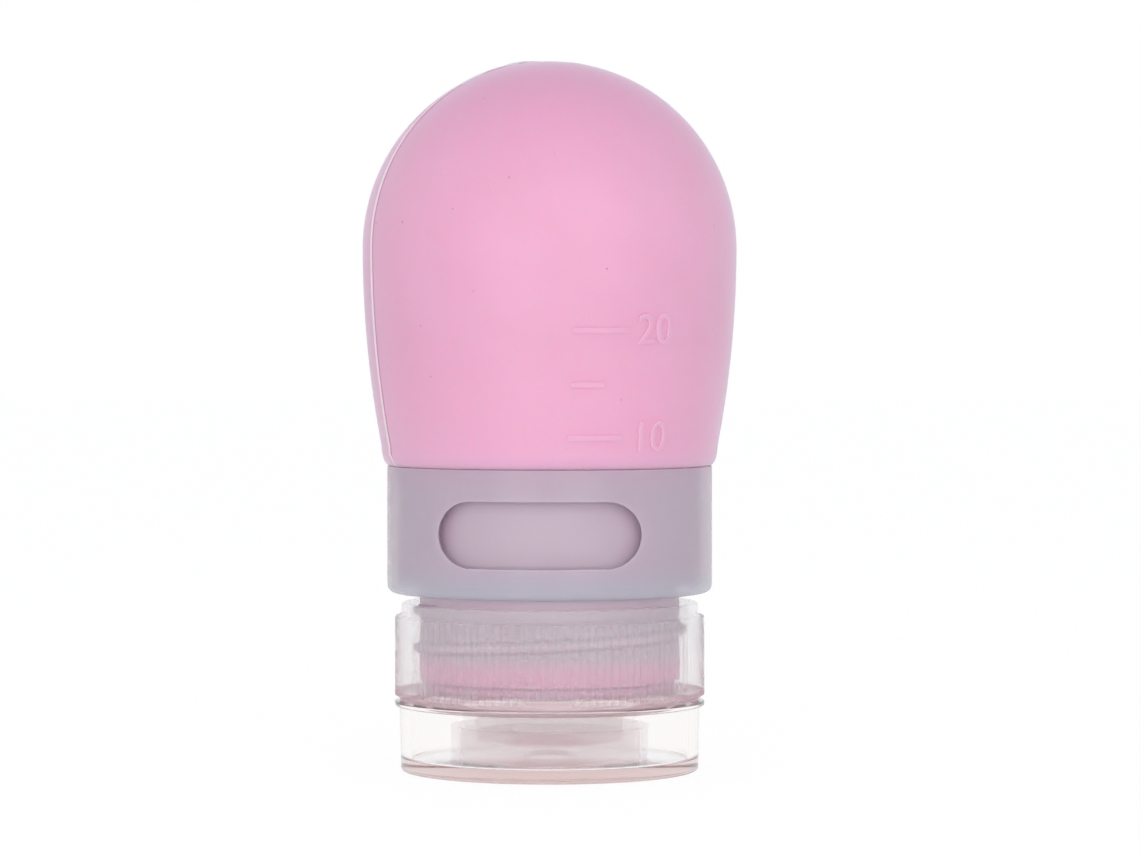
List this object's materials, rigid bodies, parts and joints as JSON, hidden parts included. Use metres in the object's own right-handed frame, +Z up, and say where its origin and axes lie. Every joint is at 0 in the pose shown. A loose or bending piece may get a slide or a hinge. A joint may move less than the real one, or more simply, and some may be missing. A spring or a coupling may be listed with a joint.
{
  "type": "travel silicone bottle",
  "caption": "Squeezable silicone travel bottle with a domed body, turning label collar, knurled screw cap, slit valve spout and clear flip lid on which it stands.",
  "frame": {"origin": "centre of the flip lid's outer face, on which the bottle stands", "axes": "+Z up from the lid to the dome, +Y towards the lid's hinge, -Y towards the thumb notch and label window"},
  "size_m": [0.04, 0.04, 0.0758],
  "materials": {
    "body_silicone": "translucent pink silicone, satin moulded surface",
    "valve_silicone": "milky silicone, matt",
    "frosted_plastic": "frosted natural polypropylene",
    "label_plastic": "matt lilac grey polypropylene",
    "collar_plastic": "semi clear smoky polypropylene, smooth",
    "cap_plastic": "clear polypropylene, slightly milky, knurled grip",
    "lid_plastic": "clear polypropylene, polished"
  },
  "bodies": {
    "bottle": {"silicone_bottle": "body_silicone", "threaded_neck": "frosted_plastic", "label_ring": "label_plastic"},
    "collar": {"collar_sleeve": "collar_plastic"},
    "valve": {"slit_valve": "valve_silicone", "valve_retainer": "frosted_plastic"},
    "cap": {"screw_cap": "cap_plastic"},
    "lid": {"flip_lid": "lid_plastic"}
  },
  "joints": [
    {"name": "collar_turn", "type": "hinge", "parent": "bottle", "child": "collar", "pos_m": [0, 0, 0.0258], "axis": [0, 0, 1], "continuous": true},
    {"name": "cap_lift", "type": "slide", "parent": "bottle", "child": "valve", "axis": [0, 0, -1], "range_m": [0, 0.01]},
    {"name": "cap_twist", "type": "hinge", "parent": "valve", "child": "cap", "pos_m": [0, 0, 0.0128], "axis": [0, 0, -1], "range_deg": [0, 900]},
    {"name": "lid_flip", "type": "hinge", "parent": "cap", "child": "lid", "pos_m": [0, 0.0181, 0.00753], "axis": [1, 0, 0], "range_deg": [0, 180]}
  ],
  "couplings": [
    {"joint": "cap_lift", "follows": "cap_twist", "m_per_rad": 0.0006366}
  ]
}
